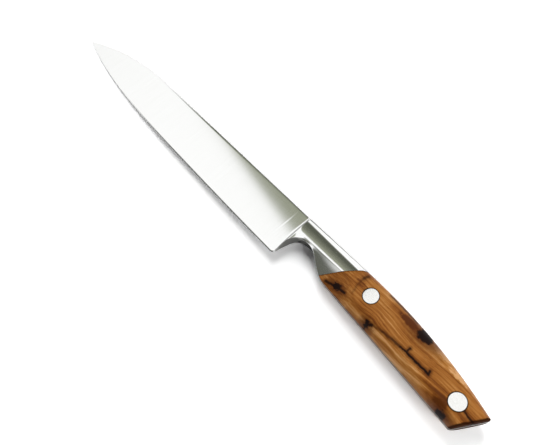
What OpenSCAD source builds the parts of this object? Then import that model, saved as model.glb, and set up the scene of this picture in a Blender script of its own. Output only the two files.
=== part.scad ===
// Carving knife with a forged blade, a half bolster that runs into a full tang,
// two wooden scales and two two-part rivets. It lies on its right side.
// The pieces are worked out in the knife's own frame: x runs from the bolster's
// step to the point, y from the spine to the cutting edge, z out of the left face.

/* [Blade] */
// Length of the blade from the bolster's step to the point
blade_l = 250; // [200:1:320]
// Greatest height of the blade, from the spine to the cutting edge
blade_h = 30; // [28:0.5:38]
// Thickness of the spine beside the bolster
spine_t = 2.6; // [2.2:0.1:3.2]
// Thickness of the spine where it starts to fall to the point
fore_t = 1.5; // [1.2:0.1:2]
// Length over which the spine falls to the point
point_l = 90; // [60:1:120]
// Depth of the point below the line of the spine
point_y = 17.3; // [14:0.1:22]
// Distance from the step to the fullest part of the cutting edge
full_x = 80; // [60:1:110]
// Amount that the cutting edge rises again towards the heel
heel_rise = 0.5; // [0:0.1:1]
// Height of the sharpened bevel along the cutting edge
bevel_h = 0.8; // [0.5:0.1:1.5]
// Thickness of the blade where the bevel starts
bevel_t = 0.4; // [0.3:0.05:0.6]
// Width left at the cutting edge itself
edge_t = 0.06; // [0.04:0.01:0.1]
// Radius that breaks the long corners of the spine
spine_r = 0.25; // [0.1:0.05:0.4]
// Length of the unground strip between the step and the grind
ricasso_l = 7; // [4:0.5:12]
// Amount that the unground strip stands proud on each face
ricasso_t = 0.08; // [0.04:0.01:0.15]

/* [Bolster] */
// Length of the bolster along the spine, from the step to the wood
bolster_l = 49; // [42:0.5:60]
// Thickness of the bolster at its front
bolster_t = 7.4; // [6:0.1:9]
// Length of the sloping step from the blade up to the bolster
step_l = 2.7; // [2:0.1:4]
// Depth of the flat's upper edge below the spine at the front of the bolster
flat_top = 2.4; // [1.5:0.1:3]
// Depth of the flat's lower edge below the spine
flat_low = 10.6; // [9:0.1:11]
// Radius of the flat's lower front corner
flat_r = 3; // [1:0.1:4]
// Distance that the heel reaches behind the step
heel_back = 2.2; // [1.6:0.1:3]
// Radius of the heel's lower corner
heel_r = 2.6; // [1.5:0.1:4]
// Thickness of the heel at its lower corner
heel_t = 2.6; // [2:0.1:3.5]
// Distance from the step to the top of the finger choil
choil_x = 13.5; // [12:0.5:18]
// Height of the steel above the finger choil
choil_h = 11.8; // [11.5:0.1:14]
// Thickness of the choil's wall where a finger rests
choil_t = 7; // [5:0.1:7.4]
// Share of the swell behind the choil that is steel
swell_share = 0.8; // [0.6:0.01:0.9]

/* [Handle] */
// Thickness of the handle over both scales
handle_t = 16; // [14:0.5:20]
// Length of the wood along the back
wood_l = 85.5; // [75:1:110]
// Height of the handle where its belly runs straight
handle_h = 21; // [19:0.5:25]
// Distance from the step to where the belly runs straight
swell_x = 36; // [33:0.5:42]
// Angle between the belly and the spine
belly_a = 3.6; // [2:0.1:5]
// Radius of the curve along the back of the handle
back_r = 290; // [250:5:500]
// Straight stretch of the back behind the bolster
back_straight = 7.5; // [0:0.5:15]
// Slant of the butt from square
butt_a = 30; // [15:1:40]
// Radius that breaks the edges of the butt
butt_r = 1; // [0.5:0.1:2]
// Thickness of the tang between the scales
tang_t = 2.8; // [2:0.1:3.5]
// Distance that the tang's edge lies inside the edge of the wood
tang_in = 0.1; // [0.05:0.05:0.3]
// Thickness of the handle's square side before it rounds over
side_t = 4; // [3.8:0.1:6]

/* [Rivets] */
// Diameter of the rivet heads
head_d = 8.2; // [7:0.1:9]
// Thickness of the rivet heads
head_t = 1.8; // [1.2:0.1:2.5]
// Outer diameter of the female shank
tube_d = 5; // [4.5:0.1:6]
// Diameter of the male shank
pin_d = 3; // [2.4:0.1:3.4]
// Distance of the front rivet behind the wood's upper front corner
front_rivet_in = 10.5; // [9:0.5:20]
// Distance of the rear rivet ahead of the wood's upper rear corner
rear_rivet_in = 14.5; // [12:0.5:20]
// Depth of both rivets below the back of the handle
rivet_y = 9.5; // [9:0.1:10.5]
// Clearance round the heads in their counterbores
head_fit = 0.08; // [0.05:0.01:0.15]
// Clearance round both shanks in their holes
shank_fit = 0.05; // [0.03:0.01:0.1]
// Gap left past the end of each shank
end_gap = 0.4; // [0.2:0.1:0.8]

/* [Hidden] */

// Facets round a bore or a rivet
$fn = 64;

// Numbers of steps along and round the lofted forms
corner_steps = 5;
flat_steps = 3;
flank_steps = 7;
straight_steps = 8;
point_steps = 15;
step_steps = 5;
choil_steps = 9;
swell_steps = 9;
front_wood_steps = 3;
wood_steps = 10;
butt_steps = 4;

// How late the spine and the edge curve towards the point
spine_power = 2.15;
edge_power = 3.1;
// How fast the spine thins with the height of the point
thin_power = 0.7;
// How the step rises, and how square the flanks of bolster, joint and handle are
step_power = 1.6;
bolster_power = 1.25;
joint_power = 1.1;
handle_power = 1.5;
// Shares of the handle's height where its flat starts and ends
wood_top = 0.2;
wood_low = 0.74;
// Share of the wood over which the flat widens from the bolster's to its own
widen_share = 0.25;
// Pull of the curves that shape the choil and the swell, as shares of their length
heel_pull = 0.28;
choil_pull = 0.21;
swell_pull = 0.33;
belly_pull = 0.4;
// Half the length over which the bolster's slope rounds into the handle
knee_blend = 3;
// Length over which the last section closes to the point
tip_l = 3;
// Length over which the grind runs out at the unground strip
grind_run = 0.8;
// Share of the heel's height over which its wall thickens
heel_share = 0.65;
// Shares of the blade's height that the spine's corner and the bevel stay under near the point
corner_share = 0.125;
bevel_share = 0.25;

// Diameters of the bores: for the shanks, for the heads, and inside the tube
shank_bore = tube_d + 2 * shank_fit;
head_bore = head_d + 2 * head_fit;
tube_bore = pin_d + 2 * shank_fit;

// Small helpers
function mix(a, b, s) = a + (b - a) * s;
function clamp(s) = max(0, min(1, s));
function smooth(s) = let (c = clamp(s)) c * c * (3 - 2 * c);
function bezier(a, b, c, d, s) =
    pow(1 - s, 3) * a + 3 * pow(1 - s, 2) * s * b + 3 * (1 - s) * s * s * c + pow(s, 3) * d;

// Outline of the blade
point_x = blade_l - point_l;
function spine_y(x) = x < point_x ? 0 : point_y * pow((x - point_x) / point_l, spine_power);
function edge_y(x) = x < full_x
    ? blade_h - heel_rise * pow(1 - x / full_x, 2)
    : blade_h - (blade_h - point_y) * pow((x - full_x) / (blade_l - full_x), edge_power);

// Outline under the bolster: the heel's corner, the choil and the swell
heel_x = heel_r - heel_back;
heel_y = edge_y(heel_x) - heel_r;
function heel_corner(s) = [heel_x - heel_r * sin(90 * s), heel_y + heel_r * cos(90 * s)];
function choil(s) = bezier(
    [-heel_back, heel_y],
    [-heel_back, mix(choil_h, heel_y, heel_pull)],
    [mix(-heel_back, -choil_x, choil_pull), choil_h],
    [-choil_x, choil_h], s);
function swell(s) = bezier(
    [-choil_x, choil_h],
    [mix(-choil_x, -swell_x, swell_pull), choil_h],
    [-swell_x + belly_pull * (swell_x - choil_x),
        handle_h - belly_pull * (swell_x - choil_x) * tan(belly_a)],
    [-swell_x, handle_h], s);

// Outline of the handle
butt_x = -bolster_l - wood_l;
back_x = -bolster_l - back_straight;
function back_y(x) = x > back_x ? 0 : back_r - sqrt(pow(back_r, 2) - pow(x - back_x, 2));
function belly_y(x) = handle_h - (x + swell_x) * tan(belly_a);
butt_low_x = (butt_x + tan(butt_a) * (belly_y(0) - back_y(butt_x))) / (1 + tan(butt_a) * tan(belly_a));
joint = [[-bolster_l, 0], swell(swell_share)];

// Half the thickness of the bolster's and the handle's flat at x
slope = (handle_t - bolster_t) / 2 / (bolster_l - step_l);
function knee(d) = d < -knee_blend ? 0 : d > knee_blend ? d : pow(d + knee_blend, 2) / (4 * knee_blend);
function flat_z(x) = handle_t / 2 - slope * knee(x + bolster_l);

// A profile is a list of [share of the height, half thickness], from the back to the belly
function grip_profile(ends, top, low, back_side, low_side, power, shrink = 0) =
    let (high = function (s) flat_z(mix(ends[0].x, ends[1].x, s)) - shrink)
    [
        for (i = [0 : corner_steps])
            let (a = 90 * i / corner_steps, s = top * (1 - cos(a)))
            [s, mix(back_side, high(s), sin(a))],
        for (i = [1 : flat_steps])
            let (s = mix(top, low, i / flat_steps))
            [s, high(s)],
        for (i = [1 : flank_steps])
            let (
                a = 90 * i / flank_steps,
                s = mix(low, 1, pow(sin(a), 2 / power)),
                z = i == flank_steps ? 0 : pow(cos(a), 2 / power))
            [s, mix(low_side, high(s), z)],
    ];

// The blade's faces run straight from the spine to the sharpened bevel
function spine_z(x) = let (thin = (edge_y(x) - spine_y(x)) / (edge_y(point_x) - spine_y(point_x)))
    mix(spine_t, fore_t, clamp(x / point_x)) / 2 * (x < point_x ? 1 : pow(thin, thin_power));
function blade_profile(x) =
    let (
        tall = edge_y(x) - spine_y(x),
        proud = x <= ricasso_l ? ricasso_t : 0,
        high = spine_z(x) + proud,
        r = min(spine_r, high / 2, corner_share * tall),
        bevel = min(bevel_h, bevel_share * tall),
        low = (bevel_t / 2) * min(1, high / bevel_t) + proud,
        faces = flat_steps + flank_steps - 1)
    [
        for (i = [0 : corner_steps])
            let (a = 90 * i / corner_steps)
            [r * (1 - cos(a)) / tall, high - r * (1 - sin(a))],
        for (i = [1 : faces])
            let (s = i / faces)
            [mix(r, tall - bevel, s) / tall, mix(high, low, s)],
        [1, edge_t / 2],
    ];

// A section is its upper and lower end and its profile
function blade_section(x) = [[[x, spine_y(x)], [x, edge_y(x)]], blade_profile(x)];

function wall_z(y) =
    mix(heel_t, choil_t, smooth((heel_y - y) / (heel_y - choil_h) / heel_share)) / 2;
function bolster_top(x) = mix(flat_top, wood_top * joint[1].y, -x / bolster_l);
function bolster_low(x) = let (d = min(flat_r, -x - step_l))
    flat_low - flat_r + sqrt(pow(flat_r, 2) - pow(flat_r - d, 2));
function bolster_profile(ends, low_side, power) =
    let (tall = ends[1].y - ends[0].y)
    grip_profile(ends, bolster_top(ends[0].x) / tall, bolster_low(ends[0].x) / tall,
        mix(spine_t, side_t, -ends[0].x / bolster_l) / 2, low_side, power);

// The step rises from the blade's profile to the bolster's
step_profile = bolster_profile([[-step_l, 0], heel_corner(1)], heel_t / 2, bolster_power);
function step_section(s) =
    let (from = blade_profile(heel_x), rise = pow(s, step_power))
    [
        [[-step_l * s, 0], heel_corner(s)],
        [for (i = [0 : len(from) - 1]) mix(from[i], step_profile[i], rise)],
    ];
function choil_section(s) =
    let (
        low = choil(s),
        high_x = mix(-step_l, -choil_x, (low.x + heel_back) / (heel_back - choil_x)),
        ends = [[high_x, 0], low])
    [ends, bolster_profile(ends, wall_z(low.y), bolster_power)];
function swell_section(s) =
    let (
        ends = [[mix(-choil_x, -bolster_l, s), 0], swell(s * swell_share)],
        power = mix(bolster_power, joint_power, smooth(s)))
    [ends, bolster_profile(ends, mix(choil_t, side_t, smooth(s)) / 2, power)];

// Sections of the wood, which the tang shares
function wood_ends(low) =
    let (high_x = mix(-bolster_l, butt_x, (low.x - joint[1].x) / (butt_low_x - joint[1].x)))
    [[high_x, back_y(high_x)], low];
function wood_section(low, shrink = 0) =
    let (
        ends = wood_ends(low),
        tall = ends[1].y - ends[0].y,
        reach = smooth((low.x - joint[1].x) / (butt_low_x - joint[1].x) / widen_share),
        own = grip_profile(ends, mix(bolster_top(-bolster_l) / tall, wood_top, reach),
            mix(flat_low / tall, wood_low, reach), side_t / 2, side_t / 2,
            mix(joint_power, handle_power, reach), shrink))
    [[mix(ends[0], ends[1], shrink / tall), mix(ends[1], ends[0], shrink / tall)], own];
wood_sections = [
    for (i = [0 : front_wood_steps])
        wood_section(swell(mix(swell_share, 1, i / front_wood_steps))),
    for (i = [1 : wood_steps])
        let (x = mix(-swell_x, butt_low_x + butt_r, i / wood_steps))
        wood_section([x, belly_y(x)]),
    for (i = [1 : butt_steps])
        let (
            a = 90 * i / butt_steps,
            x = butt_low_x + butt_r * (1 - sin(a)))
        wood_section([x, belly_y(x)], butt_r * (1 - cos(a))),
];

// Sections of the blade and the bolster from the point to the wood
steel_sections = [
    for (i = [0 : point_steps])
        blade_section(mix(blade_l - tip_l, point_x, i / point_steps)),
    for (i = [1 : straight_steps])
        blade_section(mix(point_x, ricasso_l + grind_run, i / straight_steps)),
    blade_section(ricasso_l),
    for (i = [0 : step_steps])
        step_section(i / step_steps),
    for (i = [1 : choil_steps])
        choil_section(i / choil_steps),
    for (i = [1 : swell_steps])
        swell_section(i / swell_steps),
];

// Points of a section: all round the steel, round the tang, or round the left scale
function at(section, share, z) = let (p = mix(section[0][0], section[0][1], share)) [p.x, p.y, z];
function steel_ring(section) = [
    for (p = section[1]) at(section, p[0], p[1]),
    for (i = [len(section[1]) - 1 : -1 : 0])
        at(section, section[1][i][0], -section[1][i][1]),
];
function tang_ring(section) = let (inset = tang_in / norm(section[0][1] - section[0][0]))
    steel_ring([section[0], [for (p = section[1]) [mix(inset, 1 - inset, p[0]), tang_t / 2]]]);
function scale_ring(section) = [
    at(section, 0, tang_t / 2),
    for (p = section[1]) at(section, p[0], p[1]),
    at(section, 1, tang_t / 2),
];

// Skin over a row of rings with the same number of points. It is closed flat at the
// back, and at the front it is closed flat or drawn to a tip.
module loft(rings, tip = undef) {
    n = len(rings[0]);
    last = len(rings) - 1;
    all = [for (ring = rings) each ring];
    sides = [
        for (i = [0 : last - 1], k = [0 : n - 1])
            let (a = i * n + k, b = i * n + (k + 1) % n)
            each [[a, b, b + n], [a, b + n, a + n]]
    ];
    front = is_undef(tip)
        ? [[for (k = [n - 1 : -1 : 0]) k]]
        : [for (k = [0 : n - 1]) [(k + 1) % n, k, len(all)]];
    back = [for (k = [0 : n - 1]) last * n + k];
    polyhedron(is_undef(tip) ? all : [each all, tip], concat(front, sides, [back]));
}

// Places of the rivets, and the part's own frame with its origin under the middle
rivets = [
    [-bolster_l - front_rivet_in, rivet_y + back_y(-bolster_l - front_rivet_in)],
    [butt_x + rear_rivet_in, rivet_y + back_y(butt_x + rear_rivet_in)],
];
rear_x = min([for (section = wood_sections) section[0][0].x]);
middle = [(blade_l + rear_x) / 2, blade_h / 2];
module in_frame() translate([-middle.x, -middle.y, handle_t / 2]) children();

module forged_blade() color("silver") in_frame() difference() {
    loft(concat(
        [for (section = steel_sections) steel_ring(section)],
        [for (section = wood_sections) tang_ring(section)]),
        tip = [blade_l, point_y, 0]);
    for (rivet = rivets)
        translate([rivet.x, rivet.y, -tang_t])
            cylinder(h = 2 * tang_t, d = shank_bore);
}

// One scale with a hole and a counterbore for each rivet, on the left side
module scale() difference() {
    loft([for (section = wood_sections) scale_ring(section)]);
    for (rivet = rivets) translate([rivet.x, rivet.y, 0]) {
        cylinder(h = handle_t, d = shank_bore);
        translate([0, 0, handle_t / 2 - head_t])
            cylinder(h = handle_t, d = head_bore);
    }
}
module left_scale() color("peru") in_frame() scale();
module right_scale() color("peru") in_frame() mirror([0, 0, 1]) scale();

// The male half: a head on the left face with a solid shank that points down
module rivet_male(place) in_frame() translate([place.x, place.y, 0]) {
    translate([0, 0, handle_t / 2 - head_t])
        cylinder(h = head_t, d = head_d);
    translate([0, 0, -handle_t / 2 + head_t + end_gap])
        cylinder(h = handle_t - 2 * head_t - end_gap, d = pin_d);
}

// The female half: a head on the right face with a tube that takes the shank
module rivet_female(place) in_frame() translate([place.x, place.y, -handle_t / 2]) difference() {
    union() {
        cylinder(h = head_t, d = head_d);
        cylinder(h = handle_t - head_t - end_gap, d = tube_d);
    }
    translate([0, 0, head_t])
        cylinder(h = handle_t, d = tube_bore);
}
module front_rivet_male() color("gainsboro") rivet_male(rivets[0]);
module front_rivet_female() color("gainsboro") rivet_female(rivets[0]);
module rear_rivet_male() color("gainsboro") rivet_male(rivets[1]);
module rear_rivet_female() color("gainsboro") rivet_female(rivets[1]);

forged_blade();
left_scale();
right_scale();
front_rivet_male();
front_rivet_female();
rear_rivet_male();
rear_rivet_female();
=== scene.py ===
import bpy
import numpy as np
from mathutils import Matrix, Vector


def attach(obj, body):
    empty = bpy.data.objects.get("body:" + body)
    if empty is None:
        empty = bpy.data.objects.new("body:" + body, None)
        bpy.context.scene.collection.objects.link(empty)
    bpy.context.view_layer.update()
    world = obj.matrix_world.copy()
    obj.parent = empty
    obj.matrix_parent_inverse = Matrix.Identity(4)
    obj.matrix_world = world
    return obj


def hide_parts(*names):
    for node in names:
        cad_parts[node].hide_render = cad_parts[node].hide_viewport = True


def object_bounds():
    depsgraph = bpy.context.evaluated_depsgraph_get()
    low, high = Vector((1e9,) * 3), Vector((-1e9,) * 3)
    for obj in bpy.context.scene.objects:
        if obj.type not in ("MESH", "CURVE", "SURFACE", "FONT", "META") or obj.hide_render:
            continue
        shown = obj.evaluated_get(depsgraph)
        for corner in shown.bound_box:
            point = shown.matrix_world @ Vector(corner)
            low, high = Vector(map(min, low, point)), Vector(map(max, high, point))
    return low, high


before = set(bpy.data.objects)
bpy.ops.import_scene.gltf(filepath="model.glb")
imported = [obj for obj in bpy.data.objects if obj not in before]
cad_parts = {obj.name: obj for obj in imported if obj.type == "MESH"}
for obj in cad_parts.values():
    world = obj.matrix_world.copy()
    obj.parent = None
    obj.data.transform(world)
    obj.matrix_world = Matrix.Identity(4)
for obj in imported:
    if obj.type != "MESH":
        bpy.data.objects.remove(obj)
cad_low, cad_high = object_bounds()


# Forged blade
# One bar of stainless steel is forged to a blade, a half bolster and a full tang. The blade
# is ground thin on both faces and satined across, and the bolster is satined lengthwise.

# All lengths are in millimetres. x runs from the bolster's step to the point, y from the
# spine to the cutting edge, and z out of the left face.
# The blade's length and height, and its spine's thickness at the bolster and at point_x.
blade_l, blade_h, spine_t, fore_t = 250, 30, 2.6, 1.5
# Where the spine starts to fall and how far it falls, where the edge is fullest, and how much
# higher the edge lies at the heel.
point_x, point_y, full_x, heel_rise = 160, 17.3, 80, 0.5
# How late the spine falls, the edge sweeps up and the blade thins on the way to the point.
spine_power, sweep_power, thin_power = 2.15, 3.1, 0.7
# The bevel's height, its thickness at the top and at the edge, and the round of the spine.
bevel_h, bevel_t, edge_t, spine_r = 0.8, 0.4, 0.06, 0.25
# The unground strip's length, how far it stands proud, and how long the grinding runs out.
ricasso_l, ricasso_t, grind_run = 7, 0.05, 0.8
# The bolster's length, its thickness at the front, the step's length, and how late it rises.
bolster_l, bolster_t, step_l, step_power = 49, 7.4, 2.7, 1.6
# The top and the foot of the bolster's flat, the round of its lower corner, and its crown.
flat_top, flat_low, flat_r, crown = 2.4, 10.6, 3, 0.14
# How far back the heel reaches, its round, and the thickness of its wall.
heel_back, heel_r, heel_t = 2.2, 2.6, 2.6
# The top of the hollow for the finger, the thickness of its wall there, and the share of the
# hollow's height over which the wall grows thick.
choil_x, choil_h, choil_t, wall_share = 13.5, 11.8, 7, 0.65
# What the hollow's curve is pulled towards: how far down from its top, and how far back from
# the heel, as shares of its height and its length.
pull_down, pull_back = 0.28, 0.21
# Where the swell ends, how far from its start and from its end its curve is pulled, and its
# share in front of the joint with the wood.
swell_x, swell_pull, belly_pull, swell_share = 36, 0.33, 0.4, 0.8
# The handle's thickness, its height at swell_x, the slope of its belly, and half the length
# of the soft bend in its flat.
handle_t, handle_h, belly_a, knee = 16, 21, np.radians(3.6), 3
# The wood's length, the width of its back and its belly, and the thickness of the tang.
wood_l, side_t, tang_t = 85.5, 4, 2.8
# The top and the foot of the wood's flat as shares of its height, and the share of its length
# over which the flat widens to them.
wood_top, wood_low, widen_share = 0.2, 0.74, 0.25
# How square the flanks of the bolster, the joint and the handle are.
bolster_power, joint_power, handle_power = 1.25, 1.1, 1.5
# The back's radius and its straight start, and the slant and the round of the butt.
back_r, back_straight, butt_a, butt_r = 290, 7.5, np.radians(30), 1
# The place in the frame where x, y and z are all 0.
origin = np.array([1000 * cad_high.x - blade_l, -blade_h / 2, handle_t / 2])


def mix(a, b, s):
    """The value that lies the share s of the way from a to b."""
    return a + (b - a) * s


def smooth(s):
    """A share that starts and ends gently: three times its square less twice its cube."""
    c = np.clip(s, 0, 1)
    return c * c * (3 - 2 * c)


def bezier(a, b, c, d, s):
    """The cubic curve from a to d that is pulled towards b and c, at each share s."""
    a, b, c, d = (np.array(p, float) for p in (a, b, c, d))
    s = np.reshape(s, (-1, 1))
    return (1 - s) ** 3 * a + 3 * (1 - s) ** 2 * s * b + 3 * (1 - s) * s**2 * c + s**3 * d


def spine_y(x):
    """The spine is straight, then falls to the point as a power of the way there."""
    return point_y * (np.clip(x - point_x, 0, None) / (blade_l - point_x)) ** spine_power


def edge_y(x):
    """The cutting edge is full at full_x, rises to the heel as the square of the way there, and
    sweeps up to the point as a power of the way there."""
    heel = blade_h - heel_rise * np.clip(1 - x / full_x, 0, None) ** 2
    reach = np.clip(x - full_x, 0, None) / (blade_l - full_x)
    return heel - (blade_h - point_y) * reach**sweep_power


heel_x = heel_r - heel_back
heel_y = float(edge_y(heel_x)) - heel_r
belly_run = belly_pull * (swell_x - choil_x)


def choil(s):
    """The hollow for the finger: a cubic curve from the heel up to its top."""
    return bezier([-heel_back, heel_y], [-heel_back, mix(choil_h, heel_y, pull_down)],
                  [mix(-heel_back, -choil_x, pull_back), choil_h], [-choil_x, choil_h], s)


def swell(s):
    """The underside behind the hollow: a cubic curve down to the line of the belly."""
    return bezier([-choil_x, choil_h], [mix(-choil_x, -swell_x, swell_pull), choil_h],
                  [-swell_x + belly_run, handle_h - belly_run * np.tan(belly_a)],
                  [-swell_x, handle_h], s)


joint_low = swell(swell_share)[0]


def flat_z(x):
    """Half the thickness over the flats: level along the handle, then falling in a straight
    line to the step, with a parabola from one line to the other."""
    d = x + bolster_l
    bend = np.where(d < -knee, 0, np.where(d > knee, d, (d + knee) ** 2 / (4 * knee)))
    return handle_t / 2 - (handle_t - bolster_t) / 2 / (bolster_l - step_l) * bend


# A profile has one column for each point from the back to the belly. The columns run round
# the upper corner to corner_end, over the flat to flat_end, and down the flank to rim. On the
# blade the face reaches down to bevel_at, where the columns stand close on both sides.
corner_end, flat_end, bevel_at, rim = 5, 8, 14, 15
beside, close = 0.1, 0.03
column = np.concatenate([
    np.linspace(0, corner_end, 11)[:-1], np.linspace(corner_end, flat_end, 9)[:-1],
    np.linspace(flat_end, bevel_at - beside, 26)[:-1],
    bevel_at + np.array([-beside, -close, 0, close, beside]),
    np.linspace(bevel_at + beside, rim, 6)[1:]])[None, :]


def grip_profile(upper_x, lower_x, top, low, back_side, low_side, power, shrink=0):
    """Share of the height and half thickness of each column of the bolster or the handle: a
    quarter ellipse round the back, the flat, and a flank whose squareness is the power. The
    belt leaves the flat a little crowned, as the fourth power of the distance from its middle."""
    corner = np.pi / 2 * np.clip(column / corner_end, 0, 1)
    flank = np.pi / 2 * np.clip((column - flat_end) / (rim - flat_end), 0, 1)
    over = (column - corner_end) / (flat_end - corner_end)
    share = np.where(column <= corner_end, top * (1 - np.cos(corner)),
                     np.where(column <= flat_end, mix(top, low, over),
                              mix(low, 1, np.sin(flank) ** (2 / power))))
    off = (share - (top + low) / 2) / ((low - top) / 2)
    worn = crown * off**4 / (1 + off**4 / 2)
    high = flat_z(mix(upper_x, lower_x, share)) - worn - shrink
    fall = np.clip(np.cos(flank), 0, 1) ** (2 / power)
    half = np.where(column <= corner_end, mix(back_side, high, np.sin(corner)),
                    np.where(column <= flat_end, high, mix(low_side, high, fall)))
    return share, half


def blade_profile(x):
    """Share of the height and half thickness of each column of the blade: a small round at
    the spine, a straight face that thins to the bevel, and the bevel down to the edge."""
    tall = edge_y(x) - spine_y(x)
    full = edge_y(point_x) - spine_y(point_x)
    thin = np.where(x < point_x, 1, np.clip(tall / full, 0, 1) ** thin_power)
    proud = ricasso_t * np.clip((ricasso_l + grind_run - x) / grind_run, 0, 1)
    high = mix(spine_t, fore_t, np.clip(x / point_x, 0, 1)) / 2 * thin + proud
    r = np.minimum(spine_r, np.minimum(high / 2, tall / 8))
    bevel = np.minimum(bevel_h, tall / 4)
    low = bevel_t / 2 * np.minimum(1, high / bevel_t) + proud
    corner = np.pi / 2 * np.clip(column / corner_end, 0, 1)
    face = np.clip((column - corner_end) / (bevel_at - corner_end), 0, 1)
    tip = np.clip(column - bevel_at, 0, 1)
    down = np.where(column <= corner_end, r * (1 - np.cos(corner)),
                    mix(r, tall - bevel, face) + bevel * tip)
    half = np.where(column <= corner_end, high - r * (1 - np.sin(corner)),
                    mix(mix(high, low, face), edge_t / 2, tip))
    return down / tall, half


def bolster_profile(upper_x, lower, low_side, power):
    """The bolster's profile. Its flat starts in a round lower corner, and its top and the width
    of the back change evenly from the step to the joint."""
    tall, along = lower[:, 1:], -upper_x / bolster_l
    d = np.minimum(flat_r, -upper_x - step_l)
    low = flat_low - flat_r + np.sqrt(np.clip(flat_r**2 - (flat_r - d) ** 2, 0, None))
    top = mix(flat_top, wood_top * joint_low[1], along)
    back_side = mix(spine_t, side_t, along) / 2
    return grip_profile(upper_x, lower[:, :1], top / tall, low / tall, back_side, low_side, power)


def rows(upper_x, lower, profile, upper_y=0.0):
    """A run of sections: upper ends, lower ends, shares and half thicknesses."""
    upper = np.hstack([upper_x, np.broadcast_to(upper_y, upper_x.shape)])
    return upper, lower, *(np.broadcast_to(p, (len(lower), column.size)) for p in profile)


def blade_rows(upper_x, lower_x):
    """Sections of the blade, each straight across it or a little askew."""
    upper_x, lower_x = np.reshape(upper_x, (-1, 1)), np.reshape(lower_x, (-1, 1))
    lower = np.hstack([lower_x, edge_y(lower_x)])
    return rows(upper_x, lower, blade_profile(lower_x), spine_y(upper_x))


def step_rows(s):
    """The step: the blade's profile turns into the bolster's as a power of the way, while the
    lower ends run round the heel's quarter circle."""
    s = np.reshape(s, (-1, 1))
    turn = np.pi / 2 * s
    lower = np.hstack([heel_x - heel_r * np.sin(turn), heel_y + heel_r * np.cos(turn)])
    start = blade_profile(np.array([[heel_x]], float))
    end = bolster_profile(np.array([[-step_l]], float), lower[-1:], heel_t / 2, bolster_power)
    return rows(-step_l * s, lower, [mix(a, b, s**step_power) for a, b in zip(start, end)])


def choil_rows(s):
    """The bolster over the finger's hollow, where its wall grows thick from the heel up."""
    lower = choil(s)
    x = mix(-step_l, -choil_x, (lower[:, :1] + heel_back) / (heel_back - choil_x))
    climb = (heel_y - lower[:, 1:]) / (heel_y - choil_h)
    wall = mix(heel_t, choil_t, smooth(climb / wall_share)) / 2
    return rows(x, lower, bolster_profile(x, lower, wall, bolster_power))


def swell_rows(s):
    """The bolster behind the hollow, as far as the slanted joint with the wood."""
    s = np.reshape(s, (-1, 1))
    lower, x = swell(s * swell_share), mix(-choil_x, -bolster_l, s)
    wall = mix(choil_t, side_t, smooth(s)) / 2
    power = mix(bolster_power, joint_power, smooth(s))
    return rows(x, lower, bolster_profile(x, lower, wall, power))


butt_x, back_x = -bolster_l - wood_l, -bolster_l - back_straight


def back_y(x):
    """The back is straight behind the bolster and then follows a large circle."""
    return back_r - np.sqrt(back_r**2 - np.clip(back_x - x, 0, None) ** 2)


def belly_y(x):
    """The belly runs straight, at a small angle to the spine."""
    return handle_h - (x + swell_x) * np.tan(belly_a)


# The butt's slant starts at the back and meets the belly here.
butt_drop = np.tan(butt_a) * (belly_y(0) - back_y(butt_x))
butt_low_x = (butt_x + butt_drop) / (1 + np.tan(butt_a) * np.tan(belly_a))


def wood_rows(lower, shrink):
    """Sections of the wood from the joint to the butt, where they shrink round its rim."""
    reach = (lower[:, :1] - joint_low[0]) / (butt_low_x - joint_low[0])
    x = mix(-bolster_l, butt_x, reach)
    upper = np.hstack([x, back_y(x)])
    tall, widen = lower[:, 1:] - upper[:, 1:], smooth(reach / widen_share)
    top = mix(wood_top * joint_low[1] / tall, wood_top, widen)
    low = mix(flat_low / tall, wood_low, widen)
    power = mix(joint_power, handle_power, widen)
    side = side_t / 2
    share, half = grip_profile(x, lower[:, :1], top, low, side, side, power, shrink)
    return mix(upper, lower, shrink / tall), mix(lower, upper, shrink / tall), share, half


def handle_rows():
    """All the sections of the wood: down the swell, along the belly and round the butt's rim,
    which is a quarter circle."""
    front = swell(np.linspace(swell_share, 1, 14))
    x = np.linspace(-swell_x, butt_low_x + butt_r, 120)[1:]
    turn = np.radians(np.linspace(0, 90, 9))[1:]
    x = np.concatenate([x, butt_low_x + butt_r * (1 - np.sin(turn))])
    lower = np.vstack([front, np.column_stack([x, belly_y(x)])])
    shrink = np.zeros(len(lower))
    shrink[-turn.size:] = butt_r * (1 - np.cos(turn))
    return wood_rows(lower, shrink[:, None])


def ring_faces(n, m):
    """Four-sided faces that join n rings of m points each, from one ring to the next."""
    a = np.arange(n - 1)[:, None] * m + np.arange(m)[None, :]
    b = np.arange(n - 1)[:, None] * m + (np.arange(m)[None, :] + 1) % m
    return np.stack([a, b, b + m, a + m], axis=-1).reshape(-1, 4)


def placed(name, data):
    """An object of the scene for a mesh, a lamp or a camera."""
    made = bpy.data.objects.new(name, data)
    bpy.context.scene.collection.objects.link(made)
    return made


def new_mesh(name, points, faces, material, sharp):
    """A mesh with smooth faces, whose edges stay sharp from an angle in degrees. The points
    are given in millimetres from the origin, and are moved to their place in the frame."""
    mesh = bpy.data.meshes.new(name)
    mesh.from_pydata((points + origin) / 1000, [], faces)
    mesh.shade_smooth()
    mesh.set_sharp_from_angle(angle=np.radians(sharp))
    mesh.materials.append(material)
    return mesh


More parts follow.
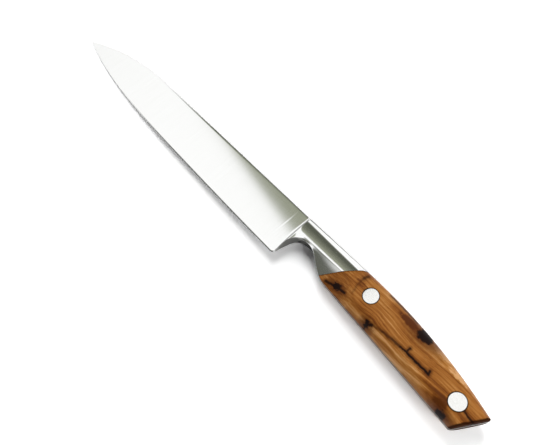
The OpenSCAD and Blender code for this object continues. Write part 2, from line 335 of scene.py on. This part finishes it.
def body_between(name, sections, near, far, material):
    """A closed body between two skins over the same outline. A point of a skin lies at its
    share of the way from the section's upper end to its lower end, at the skin's height. The
    skins are joined along both rims, and a strip of faces closes each end."""
    upper, lower, share, _ = sections
    flat = upper[:, None] + (lower - upper)[:, None] * share[..., None]
    skins = [np.dstack([flat, z]) for z in (near, far)]
    ring = np.concatenate([skins[0], skins[1][:, ::-1]], axis=1)
    n, m = ring.shape[:2]
    k = np.arange(m // 2 - 1)
    strip = np.stack([k, m - 1 - k, m - 2 - k, k + 1], axis=-1)
    last = (n - 1) * m + strip[:, ::-1]
    faces = np.vstack([ring_faces(n, m), strip, last]).tolist()
    mesh = new_mesh(name, ring.reshape(-1, 3), faces, material, sharp=58)
    uv = mesh.uv_layers.new(name="section")
    loops = np.zeros(len(mesh.loops), int)
    mesh.loops.foreach_get("vertex_index", loops)
    round_it = np.concatenate([column[0], column[0, ::-1]]) / rim
    uv.data.foreach_set("uv", np.column_stack([round_it[loops % m], loops // m / (n - 1)]).ravel())
    piece = placed(name, mesh)
    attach(piece, "root")
    return piece


def wire(tree, kind, values=None, out=0, **settings):
    """Adds a node to a material, sets or links its inputs, and gives one of its outputs."""
    made = tree.nodes.new(kind)
    for name, value in settings.items():
        setattr(made, name, value)
    for name, value in (values or {}).items():
        if isinstance(value, bpy.types.NodeSocket):
            tree.links.new(value, made.inputs[name])
        else:
            made.inputs[name].default_value = value
    return made.outputs[out]


def sums(tree, operation, a, b=0.0, c=0.0):
    """One arithmetic step on numbers."""
    return wire(tree, "ShaderNodeMath", {0: a, 1: b, 2: c}, operation=operation)


def joined(tree, operation, first, *others):
    """One arithmetic step, such as a product or the greatest, carried through several numbers."""
    for other in others:
        first = sums(tree, operation, first, other)
    return first


def vectors(tree, operation, a, b=(0, 0, 0), c=(0, 0, 0), scale=1.0):
    """One arithmetic step on places. A length or a product comes out as a number."""
    out = "Value" if operation in ("LENGTH", "DISTANCE", "DOT_PRODUCT") else "Vector"
    values = {0: a, 1: b, 2: c, 3: scale}
    return wire(tree, "ShaderNodeVectorMath", values, out, operation=operation)


def span(tree, gap, scale):
    """The length of a gap, once each direction is multiplied by its own scale."""
    return vectors(tree, "LENGTH", vectors(tree, "MULTIPLY", gap, scale))


def split(tree, place):
    """The x, y and z of a place."""
    return wire(tree, "ShaderNodeSeparateXYZ", {0: place}).node.outputs[:]


def part_of(tree, value, low, high, out_low=0.0, out_high=1.0):
    """How far a value has come from low to high, eased at both ends."""
    values = {"Value": value, "From Min": low, "From Max": high, "To Min": out_low, "To Max": out_high}
    return wire(tree, "ShaderNodeMapRange", values, interpolation_type="SMOOTHSTEP")


def grain(tree, place, scale, detail=3.0, rough=0.55):
    """Soft noise that is stretched by its scale along each direction."""
    spot = vectors(tree, "MULTIPLY", place, scale)
    values = {"Vector": spot, "Scale": 1.0, "Detail": detail, "Roughness": rough}
    return wire(tree, "ShaderNodeTexNoise", values)


def tinted(tree, share, first, second):
    """Two colours mixed by a share."""
    return wire(tree, "ShaderNodeMix", {0: share, 6: first, 7: second}, out=2, data_type="RGBA")


def new_material(name):
    """A material with its tree and its shader, and places on the knife in millimetres."""
    material = bpy.data.materials.new(name)
    material.use_nodes = True
    tree = material.node_tree
    raw = wire(tree, "ShaderNodeTexCoord", out="Object")
    values = {"Vector": raw, "Location": -origin, "Scale": (1000, 1000, 1000)}
    place = wire(tree, "ShaderNodeMapping", values)
    return material, tree, tree.nodes["Principled BSDF"], place


def finish_with(tree, shader, colour, rough, height, strength, depth):
    """Gives a shader its colour, its roughness and its bumps, whose depth is in metres."""
    bump = wire(tree, "ShaderNodeBump", {"Height": height, "Strength": strength, "Distance": depth})
    for name, socket in (("Base Color", colour), ("Roughness", rough), ("Normal", bump)):
        tree.links.new(socket, shader.inputs[name])


# The satin runs across the blade and along the bolster, and turns between these two places.
satin_turn = (-1.6, -2.6)
satin_low, satin_high = (0.94, 0.94, 0.93, 1), (0.965, 0.965, 0.96, 1)
shade_and_matt_steel, steel_glance = (0.12, 0.12, 0.11, 1), (0.4, 0.4, 0.39, 1)
steel, tree, shader, place = new_material("satin_steel")
x, y, z = split(tree, place)
across = grain(tree, place, (7.0, 0.06, 0.4), detail=4)
across_wide = grain(tree, place, (0.9, 0.03, 0.1), detail=3)
along = grain(tree, place, (0.05, 6.0, 6.0), detail=4)
on_bolster = part_of(tree, x, *satin_turn)
lines = wire(tree, "ShaderNodeMix", {0: on_bolster, 2: across, 3: along})
cloud = grain(tree, place, (0.05, 0.12, 0.1), detail=5, rough=0.6)
tone = sums(tree, "MULTIPLY_ADD", lines, 0.5, sums(tree, "MULTIPLY", across_wide, 0.5))
colour = tinted(tree, part_of(tree, tone, 0.3, 0.7), satin_low, satin_high)

# Painted shade: the back, the bevel and the wall of the finger's hollow, all but its foot, are
# darkened and roughened to stand for the dark that they mirror. The tang's edge is darker and
# rougher, partly for its ground finish and partly as painted shade. The map called section gives
# each column's share of the way from the back to the edge.
from_back = sums(tree, "MULTIPLY_ADD", on_bolster, -0.8, y)
painted_shade_back = sums(tree, "MULTIPLY", part_of(tree, from_back, 0.45, 0.1, 0.0, 0.9),
                 part_of(tree, x, 130, 90))
section = split(tree, wire(tree, "ShaderNodeUVMap", uv_map="section"))[0]
painted_shade_bevel = joined(tree, "MULTIPLY", part_of(tree, section, 0.945, 0.947, 0.0, 0.95),
                    part_of(tree, x, 190, 95), part_of(tree, x, -1.9, -1.4))
wall_foot = -choil_t / 2
painted_shade_wall = joined(tree, "MULTIPLY", part_of(tree, section, 0.9993, 0.9999, 0.0, 0.85),
                   part_of(tree, z, wall_foot + 0.3, wall_foot + 0.6),
                   part_of(tree, x, -2.0, -2.3))
joint_line = joint_low + [bolster_l, 0]
across_joint = np.array([-joint_line[1], joint_line[0]]) / np.hypot(*joint_line)
past_joint = vectors(tree, "DOT_PRODUCT", place, (*across_joint, 0))
joint_at = -bolster_l * across_joint[0]
ground_and_shaded_tang = part_of(tree, past_joint, joint_at - 0.2, joint_at + 0.2, 0.0, 0.65)
# The painted shade and the tang's ground finish are gathered into one share, which darkens the colour
# and raises the roughness.
matt_and_painted_shade = joined(tree, "MAXIMUM", painted_shade_back, painted_shade_bevel, painted_shade_wall, ground_and_shaded_tang)
colour = tinted(tree, matt_and_painted_shade, colour, shade_and_matt_steel)
rough = sums(tree, "MULTIPLY_ADD", lines, 0.03, sums(tree, "MULTIPLY_ADD", cloud, 0.03, 0.05))
rough = sums(tree, "MULTIPLY_ADD", matt_and_painted_shade, 0.2, rough)
height = sums(tree, "MULTIPLY", lines, part_of(tree, x, *satin_turn, 1.0, 0.4))
finish_with(tree, shader, colour, rough, height, strength=0.06, depth=0.00003)
shader.inputs["Metallic"].default_value = 1.0
shader.inputs["Specular Tint"].default_value = steel_glance

# The sections stand close at the point and where the grinding ends. On the unground strip
# they lean over more and more, to meet the heel's round.
tip_gap, tip_power, step_bunch = 0.012, 1.3, 1.2
ground_x, strip_x = ricasso_l + 1.2, ricasso_l - 0.4
tip_run = (blade_l - point_x) * np.linspace(tip_gap, 1, 90) ** tip_power
fore = np.concatenate([blade_l - tip_run, np.linspace(point_x, ground_x + 0.2, 60)[1:]])
grind = np.linspace(ground_x, strip_x, 9)
strip = np.linspace(0, 1, 10)[1:-1]
hollow = np.linspace(0, 1, 70)[1:]
runs = [blade_rows(fore, fore), blade_rows(grind, grind),
        blade_rows(mix(strip_x, 0.0, strip), mix(strip_x, heel_x, strip)),
        step_rows(1 - (1 - np.linspace(0, 1, 30)) ** step_bunch),
        choil_rows(hollow), swell_rows(hollow)]
wood = handle_rows()
tang_half = np.full_like(wood[3], tang_t / 2)
steel_rows = [np.vstack(parts) for parts in zip(*runs, (*wood[:3], tang_half))]
blade = body_between("blade_and_bolster", steel_rows, steel_rows[3], -steel_rows[3], steel)
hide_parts("forged_blade")


# Scales
# Each handle half is a slab of knotty, oiled orange-brown wood, glued flat to the tang and
# shaped with it after the rivets are closed. Its knots and cracks are near black.

# The rivets' distance below the back, the front one's from the joint and the rear one's from
# the butt, and the radius of their heads.
rivet_y, front_at, rear_at, head_r = 9.5, 10.5, 14.5, 4.1
rivets = [(x, rivet_y + float(back_y(x))) for x in (-bolster_l - front_at, butt_x + rear_at)]
# The wood's colours, each at its lightness.
wood_browns = [(0.32, (0.085, 0.023, 0.004, 1)), (0.43, (0.19, 0.060, 0.010, 1)),
               (0.52, (0.30, 0.110, 0.022, 1)), (0.60, (0.40, 0.175, 0.045, 1)),
               (0.72, (0.58, 0.31, 0.125, 1))]
pore_brown, haze_brown = (0.06, 0.018, 0.004, 1), (0.075, 0.018, 0.003, 1)
end_grain_and_shade_brown, knot_black = (0.016, 0.0035, 0.001, 1), (0.006, 0.0016, 0.0008, 1)
seat_black = (0.012, 0.005, 0.002, 1)


def knot_marks(tree, place, loose, knots):
    """The places pushed aside by the knots, so that the bands bend round them, and how dark and
    how hazy the knots make each place. A knot is an ellipsoid, and its haze a longer one."""
    bent, dark, haze = place, 0.0, 0.0
    for centre, (rx, ry), push in knots:
        gap = vectors(tree, "SUBTRACT", loose, centre)
        away = span(tree, gap, (1 / rx, 1 / ry, 0.4 / ry))
        dark = sums(tree, "MAXIMUM", dark, part_of(tree, away, 1.15, 0.75))
        along = span(tree, gap, (0.5 / rx, 1 / ry, 0.4 / ry))
        haze = sums(tree, "MAXIMUM", haze, part_of(tree, along, 2.1, 0.6))
        aside = vectors(tree, "SCALE", gap, scale=part_of(tree, away, 5.0, 0.4, 0.0, -push))
        bent = vectors(tree, "ADD", bent, aside)
    return bent, dark, haze


def crack_marks(tree, tight, cracks, dark, haze):
    """The dark and the haze with the cracks added. Each crack is a straight line between two
    places, and a place is dark by its distance from the nearest point of that line."""
    for start, end, width, depth in cracks:
        way = np.subtract(end, start)
        gap = vectors(tree, "MULTIPLY", vectors(tree, "SUBTRACT", tight, (*start, 0)), (1, 1, 0))
        run = vectors(tree, "DOT_PRODUCT", gap, (*(way / (way @ way)), 0))
        run = wire(tree, "ShaderNodeClamp", {"Value": run})
        away = vectors(tree, "DISTANCE", gap, vectors(tree, "SCALE", (*way, 0), scale=run))
        dark = sums(tree, "MAXIMUM", dark, part_of(tree, away, width, 0.3 * width, 0.0, depth))
        around = part_of(tree, away, 2.4 * width, 0.8 * width, 0.0, 0.75 * depth)
        haze = sums(tree, "MAXIMUM", haze, around)
    return dark, haze


def wood_tone(tree, bent, loose, fibres, tone_and_sheen_patches):
    """The lightness of the wood: bands across the handle's height that wander along it, soft
    clouds and fibres, and a patch lighter or darker by its lift within its ellipse. Most patches
    are the wood's own tone; those along the left scale's back and belly are painted sheen."""
    wander = grain(tree, bent, (0.025, 0.07, 0.07), detail=2)
    _, y, z = split(tree, bent)
    ring = sums(tree, "MULTIPLY_ADD", wander, 5.0, sums(tree, "MULTIPLY_ADD", z, 0.35, y))
    values = {"W": ring, "Scale": 0.55, "Detail": 4.0, "Roughness": 0.62}
    bands = wire(tree, "ShaderNodeTexNoise", values, noise_dimensions="1D")
    cloud = grain(tree, bent, (0.04, 0.13, 0.13), detail=4)
    tone = sums(tree, "MULTIPLY_ADD", bands, 0.42, sums(tree, "MULTIPLY_ADD", cloud, 0.42, -0.12))
    tone = sums(tree, "MULTIPLY_ADD", fibres, 0.40, tone)
    for centre, (rx, ry), lift in tone_and_sheen_patches:
        away = span(tree, vectors(tree, "SUBTRACT", loose, (*centre, 0)), (1 / rx, 1 / ry, 0))
        tone = sums(tree, "ADD", tone, part_of(tree, away, 1.2, 0.4, 0.0, lift))
    return tone


def knotty_wood(name, knots, cracks, tone_and_sheen_patches):
    """Oiled wood: bands and fibres along the handle that bend round the knots, with dark knots
    and cracks, softly lighter and darker patches, some of them painted sheen, dark end grain at
    the butt, darkened further there as painted shade, and a dark ring round each rivet."""
    material, tree, shader, place = new_material(name)
    values = {"Vector": place, "Scale": 0.5, "Detail": 5.0, "Roughness": 0.6}
    ragged = wire(tree, "ShaderNodeTexNoise", values, out=1)
    ragged = vectors(tree, "SUBTRACT", ragged, (0.5, 0.5, 0.5))
    loose = vectors(tree, "MULTIPLY_ADD", ragged, (5.0, 4.0, 4.0), place)
    tight = vectors(tree, "MULTIPLY_ADD", ragged, (1.2, 1.2, 1.2), place)
    bent, dark, haze = knot_marks(tree, place, loose, knots)
    dark, haze = crack_marks(tree, tight, cracks, dark, haze)
    fibres = grain(tree, bent, (0.06, 1.5, 1.5), detail=5, rough=0.65)
    pores = part_of(tree, grain(tree, bent, (0.22, 5.0, 5.0), detail=2), 0.36, 0.28)

    ramp = tree.nodes.new("ShaderNodeValToRGB")
    tree.links.new(wood_tone(tree, bent, loose, fibres, tone_and_sheen_patches), ramp.inputs[0])
    while len(ramp.color_ramp.elements) < len(wood_browns):
        ramp.color_ramp.elements.new(0.5)
    for element, (share, shade) in zip(ramp.color_ramp.elements, wood_browns):
        element.position, element.color = share, shade
    colour = tinted(tree, sums(tree, "MULTIPLY", pores, 0.5), ramp.outputs[0], pore_brown)
    colour = tinted(tree, sums(tree, "MULTIPLY", haze, 0.8), colour, haze_brown)
    # Painted shade: the butt's face is darkened well past the end grain's own colour, to near black.
    inward = vectors(tree, "DOT_PRODUCT", tight, (np.cos(butt_a), -np.sin(butt_a), 0))
    butt = butt_x * np.cos(butt_a) - float(back_y(butt_x)) * np.sin(butt_a)
    end_grain_and_shade = part_of(tree, inward, butt + 1.5, butt + 0.7, 0.0, 0.95)
    colour = tinted(tree, end_grain_and_shade, colour, end_grain_and_shade_brown)
    colour = tinted(tree, dark, colour, knot_black)
    # A dark ring is drawn round each rivet's head.
    rims = [span(tree, vectors(tree, "SUBTRACT", place, (*centre, 0)), (1, 1, 0)) for centre in rivets]
    seat = part_of(tree, joined(tree, "MINIMUM", *rims), head_r + 0.65, head_r + 0.15)
    colour = tinted(tree, seat, colour, seat_black)

    rough = sums(tree, "MULTIPLY_ADD", fibres, 0.16, sums(tree, "MULTIPLY_ADD", dark, 0.2, 0.30))
    rough = sums(tree, "MULTIPLY_ADD", end_grain_and_shade, 0.6, rough)
    sunk = sums(tree, "MULTIPLY", sums(tree, "MAXIMUM", dark, pores), -1.0)
    height = sums(tree, "MULTIPLY_ADD", fibres, 0.15, sunk)
    finish_with(tree, shader, colour, rough, height, strength=0.4, depth=0.00018)
    shader.inputs["IOR"].default_value = 1.22
    return material


# A crack is given by its two ends, its half width and its depth. A knot is given by its
# centre, its two radii and its push, and a patch by its centre, its two radii and its lift.
# The seam between the bolster and the wood is drawn as a crack too.
joint_gap = ((-bolster_l, 0), tuple(joint_low), 0.35, 0.8)
long_crack = [(-70.3, 19.4), (-75.8, 18.2), (-81.7, 17.5), (-86.8, 17.4), (-90.2, 17.1),
              (-96.4, 17.2), (-101.2, 17.0), (-103.9, 17.2), (-103.3, 15.6)]
long_widths = (0.7, 0.8, 0.9, 0.8, 0.9, 0.85, 0.85, 0.9)
long_depths = (0.45, 0.6, 0.75, 0.95, 1.0, 1.0, 1.0, 0.95)
left_cracks = [*zip(long_crack, long_crack[1:], long_widths, long_depths),
               ((-90.2, 17.1), (-90.4, 14.4), 0.8, 0.9), ((-36.0, 19.5), (-42.9, 18.1), 1.0, 0.95),
               ((-42.9, 18.1), (-48.9, 17.6), 0.9, 0.95), ((-51.2, 3.0), (-50.4, 5.4), 1.2, 0.7),
               ((-50.4, 4.7), (-50.6, 10.5), 0.7, 0.35), ((-50.6, 10.5), (-51.9, 14.5), 0.7, 0.25),
               ((-67.3, 21.6), (-70.3, 19.4), 1.0, 0.95), ((-124.0, 17.4), (-126.9, 18.1), 0.7, 0.85),
               # The line from (-66.0, 1.6) to (-84.0, 2.6) is a dark streak along the back, drawn like a
               # crack.
               ((-126.9, 18.1), (-131.5, 18.5), 0.8, 0.9), ((-66.0, 1.6), (-84.0, 2.6), 0.8, 0.7),
               joint_gap]
left_knots = [((-91.0, 4.8, 7.5), (4.4, 3.8), 0.3), ((-43.2, 17.8, 4.6), (2.7, 1.9), 0.2),
              ((-67.9, 20.9, 5.6), (1.6, 2.3), 0.3), ((-118.2, 25.5, 4.0), (2.5, 2.0), 0.3)]
# Painted sheen: the lighter patches along the back from x -91 to -113, the wide one at -104 and the long
# one on the belly at -88 stand for light glancing off the rounded back and belly. The other patches are
# the wood's own tone.
left_tone_and_sheen_patches = [((-88.0, 21.5), (26.0, 4.0), 0.12), ((-104.0, 7.0), (16.0, 4.5), 0.07),
                ((-81.0, 5.5), (6.5, 1.8), -0.22), ((-116.0, 22.3), (5.0, 2.0), -0.2),
                ((-52.0, 8.0), (4.0, 1.3), -0.15), ((-91.0, 3.4), (6.0, 1.3), 0.25),
                ((-102.0, 5.4), (6.5, 1.4), 0.25), ((-113.0, 8.2), (6.0, 1.4), 0.2),
                ((-52.0, 11.0), (7.0, 9.0), 0.03), ((-110.0, 20.0), (9.0, 4.0), -0.07),
                ((-62.0, 4.0), (12.0, 4.0), 0.05)]
right_cracks = [((-58.0, 15.5), (-70.5, 14.2), 0.7, 0.6), ((-70.5, 14.2), (-79.0, 15.1), 0.8, 0.9),
                ((-106.0, 9.0), (-117.5, 11.5), 0.6, 0.8), joint_gap]
right_knots = [((-79.6, 15.6, -8), (3.0, 2.5), 0.35), ((-104.0, 8.2, -8), (2.0, 1.7), 0.3),
               ((-54.5, 17.6, -7), (1.9, 1.5), 0.3)]
right_patches = [((-92.0, 8.0), (20.0, 4.5), 0.09), ((-66.0, 8.5), (14.0, 4.0), -0.05),
                 ((-120.0, 22.0), (14.0, 5.0), 0.06)]
left_wood = knotty_wood("knotty_wood_left", left_knots, left_cracks, left_tone_and_sheen_patches)
right_wood = knotty_wood("knotty_wood_right", right_knots, right_cracks, right_patches)
left_scale = body_between("left_wooden_scale", wood, wood[3], tang_half, left_wood)
right_scale = body_between("right_wooden_scale", wood, -tang_half, -wood[3], right_wood)
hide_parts("left_scale")
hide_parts("right_scale")


# Rivets
# Each rivet has two steel halves with flat round heads: a solid shank from the left is
# pressed into a tube from the right. The heads are ground flush and polished with the wood.


def turned(name, outline, centre, side, material):
    """A round piece: an outline of radius and height, carried once round the rivet's axis."""
    radius, height = np.array(outline, float).T
    angle = np.linspace(0, 2 * np.pi, 97)[:-1] * side
    x = centre[0] + radius[:, None] * np.cos(angle)
    y = centre[1] + radius[:, None] * np.sin(angle)
    grid = np.dstack([x, y, np.broadcast_to(side * height[:, None], x.shape)])
    n, m = grid.shape[:2]
    sides = ring_faces(n, m)[:, [0, 3, 2, 1]].tolist()
    ends = [list(range(m)), list(range(n * m - 1, (n - 1) * m - 1, -1))]
    piece = placed(name, new_mesh(name, grid.reshape(-1, 3), sides + ends, material, sharp=40))
    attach(piece, "root")
    return piece


polish_low, polish_high = (0.88, 0.875, 0.85, 1), (0.95, 0.945, 0.93, 1)
nick_grey = (0.35, 0.33, 0.30, 1)
polish, tree, shader, place = new_material("polished_rivet_steel")
scuffs = grain(tree, place, (0.9, 1.4, 1.4), detail=6, rough=0.7)
hairs = grain(tree, place, (0.35, 9.0, 2.0), detail=3)
nicks = part_of(tree, grain(tree, place, (1.9, 1.9, 1.9), detail=1), 0.27, 0.22)
colour = tinted(tree, part_of(tree, scuffs, 0.3, 0.7), polish_low, polish_high)
colour = tinted(tree, sums(tree, "MULTIPLY", nicks, 0.5), colour, nick_grey)
rough = sums(tree, "MULTIPLY_ADD", hairs, 0.10, sums(tree, "MULTIPLY_ADD", scuffs, 0.10, 0.10))
finish_with(tree, shader, colour, rough, hairs, strength=0.12, depth=0.00003)
shader.inputs["Metallic"].default_value = 1.0

# The head's thickness, the radii of the tube and the pin, the gap past the pin's end, and the
# play between the pin and the tube.
head_t, tube_r, pin_r, end_gap, play = 1.8, 2.5, 1.5, 0.4, 0.05
# The polished dome's height, its rim's round and the middle of that round, and how close the
# outline comes to the axis, as a share of the head's radius and as a radius.
dome_h, rim_r, rim_mid, hub_share, hub_r = 0.05, 0.12, 0.03, 0.02, 0.02
face = handle_t / 2
under_head, pin_end = face - head_t, -face + head_t + end_gap
dome = np.linspace(hub_share, 1, 12)
head = [(head_r * s - rim_r * s**8, face + dome_h * (1 - s * s)) for s in dome]
head += [(head_r - rim_mid, face - rim_mid), (head_r, face - rim_r), (head_r, under_head)]
male = head + [(pin_r, under_head), (pin_r, pin_end), (hub_r, pin_end)]
female = head + [(tube_r, under_head), (tube_r, pin_end), (pin_r + play, pin_end),
                 (pin_r + play, under_head), (hub_r, under_head)]
for where, centre in zip(("front", "rear"), rivets):
    for half, outline, side in (("male", male, 1), ("female", female, -1)):
        piece = turned(f"{where}_{half}_rivet_half", outline, centre, side, polish)
        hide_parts(f"{where}_rivet_{half}")


# Floor, light and camera
# The knife lies on a plain white sheet and rests on the flat of its handle and on its point,
# so the sheet is tilted to it. Windows past the point and beside the spine light it softly.
sheet_half, sheet_below = 4.0, 0.00005
rest_x = -bolster_l - knee
lean = face / (blade_l - rest_x)
corner_x, corner_y = sheet_half * np.array([[-1, 1, 1, -1], [-1, -1, 1, 1]])
corner_z = (corner_x - (rest_x + origin[0]) / 1000) * lean - sheet_below
sheet_mesh = bpy.data.meshes.new("floor")
sheet_mesh.from_pydata(np.column_stack([corner_x, corner_y, corner_z]), [], [[0, 1, 2, 3]])
floor = placed("floor", sheet_mesh)

# The sheet is white in view and in mirrors, and throws less light back on the knife. Away
# from the knife it fades into plain white.
sheet_lit, sheet_seen, white = (0.60, 0.60, 0.60, 1), (1.22, 1.22, 1.22, 1), (1, 1, 1, 1)
fade_from, fade_to = 0.28, 0.4
paper = bpy.data.materials.new("white_sheet")
paper.use_nodes = True
tree = paper.node_tree
tree.nodes.remove(tree.nodes["Principled BSDF"])
path = tree.nodes.new("ShaderNodeLightPath").outputs
seen = joined(tree, "MAXIMUM", path["Is Camera Ray"], path["Is Glossy Ray"], path["Is Transmission Ray"])
seen = sums(tree, "SUBTRACT", seen, path["Diffuse Depth"])
plain = wire(tree, "ShaderNodeBsdfDiffuse", {"Color": tinted(tree, seen, sheet_lit, sheet_seen)})
glow = wire(tree, "ShaderNodeEmission", {"Color": white})
away = span(tree, wire(tree, "ShaderNodeTexCoord", out="Object"), (1, 1, 0))
away = sums(tree, "MULTIPLY", part_of(tree, away, fade_from, fade_to), path["Is Camera Ray"])
sheet = wire(tree, "ShaderNodeMixShader", {0: away, 1: plain, 2: glow})
tree.links.new(sheet, tree.nodes["Material Output"].inputs["Surface"])
sheet_mesh.materials.append(paper)

# The steel mirrors a light studio with dark zones: a cloth overhead towards the point, and a
# wall and the dim room on the side of the edge. The studio itself is plain white in view. The
# cloth's place is given by how far a direction goes ahead and aside for each step up.
studio, dim_room = (1.03, 1.035, 1.03, 1), (0.12, 0.125, 0.105, 1)
cloth_light, cloth_dark = (0.29, 0.305, 0.23, 1), (0.10, 0.105, 0.08, 1)
world = bpy.data.worlds.new("studio")
bpy.context.scene.world = world
world.use_nodes = True
tree = world.node_tree
way = wire(tree, "ShaderNodeTexCoord", out="Generated")
way_x, way_y, way_z = split(tree, way)
up = sums(tree, "MAXIMUM", way_z, 0.02)
ahead = sums(tree, "DIVIDE", way_x, up)
aside = sums(tree, "DIVIDE", way_y, up)
slant = sums(tree, "MULTIPLY_ADD", ahead, 0.207, aside)
cloth = joined(tree, "MULTIPLY", part_of(tree, slant, -0.043, -0.066),
               part_of(tree, aside, -0.60, -0.47), part_of(tree, ahead, 0.36, 0.46),
               part_of(tree, ahead, 1.25, 0.95))
cloth_shade = tinted(tree, part_of(tree, aside, -0.24, -0.33), cloth_light, cloth_dark)
wall = vectors(tree, "DOT_PRODUCT", way, (1, 0, 0.23))
wall = sums(tree, "MULTIPLY", part_of(tree, wall, 0.622, 0.682), part_of(tree, aside, 0.4, 0.6))
room = vectors(tree, "DOT_PRODUCT", way, (-0.45, 0.80, 0.40))
room = sums(tree, "MULTIPLY", part_of(tree, room, 0.46, 0.58), part_of(tree, way_x, -0.62, -0.42))
light = tinted(tree, sums(tree, "MAXIMUM", wall, room), studio, dim_room)
light = tinted(tree, cloth, light, cloth_shade)
path = tree.nodes.new("ShaderNodeLightPath").outputs
light = tinted(tree, path["Is Camera Ray"], light, white)
strength = wire(tree, "ShaderNodeMix", {0: path["Diffuse Depth"], 2: 1.0, 3: 0.03})
tree.links.new(light, tree.nodes["Background"].inputs["Color"])
tree.links.new(strength, tree.nodes["Background"].inputs["Strength"])

# Each lamp has its size, its power in watts, the spot that it points at, its azimuth and its
# height from there in degrees, and its distance. Lengths are in metres.
lamps = [("top_light", (0.4, 0.7), 8.3, (0, 0, 0), 300, 61, 1.2),
         ("point_window", (1.7, 0.6), 16.4, (0, 0, 0), 18, 24, 1.8),
         ("spine_window", (1.9, 0.3), 12.0, (0, 0, 0), 255, 19, 1.8),
         ("butt_lamp", (0.2, 0.2), 1.75, (-0.15, 0, 0), 172, 29, 0.46)]
for name, size, power, spot, azimuth, height, distance in lamps:
    lamp = bpy.data.lights.new(name, "AREA")
    lamp.shape, lamp.size, lamp.size_y, lamp.energy = "RECTANGLE", *size, power
    stand = placed(name, lamp)
    swing = Matrix.Rotation(np.radians(azimuth + 90), 4, "Z")
    tilt = Matrix.Rotation(np.radians(90 - height), 4, "X")
    stand.matrix_world = Matrix.Translation(spot) @ swing @ tilt @ Matrix.Translation((0, 0, distance))
    stand.visible_glossy = False

# The camera's place and turn were worked out from the rivets' heads and the knife's outline
# in the photograph. The directions are those to its right, up, and back from the view.
to_right, to_up = (-0.62433, -0.76308, -0.16708), (0.62033, -0.61431, 0.48766)
to_back = (-0.47477, 0.20082, 0.85690)
eye = (np.array([-124.598, 70.771, 243.188]) + origin) / 1000
sight = bpy.data.cameras.new("camera")
sight.sensor_width, sight.lens, sight.clip_start = 36, 31.5, 0.01
camera = placed("camera", sight)
camera.matrix_world = Matrix([*zip(to_right, to_up, to_back, eye), (0, 0, 0, 1)])
bpy.context.scene.camera = camera
bpy.context.scene.view_settings.view_transform = "Standard"
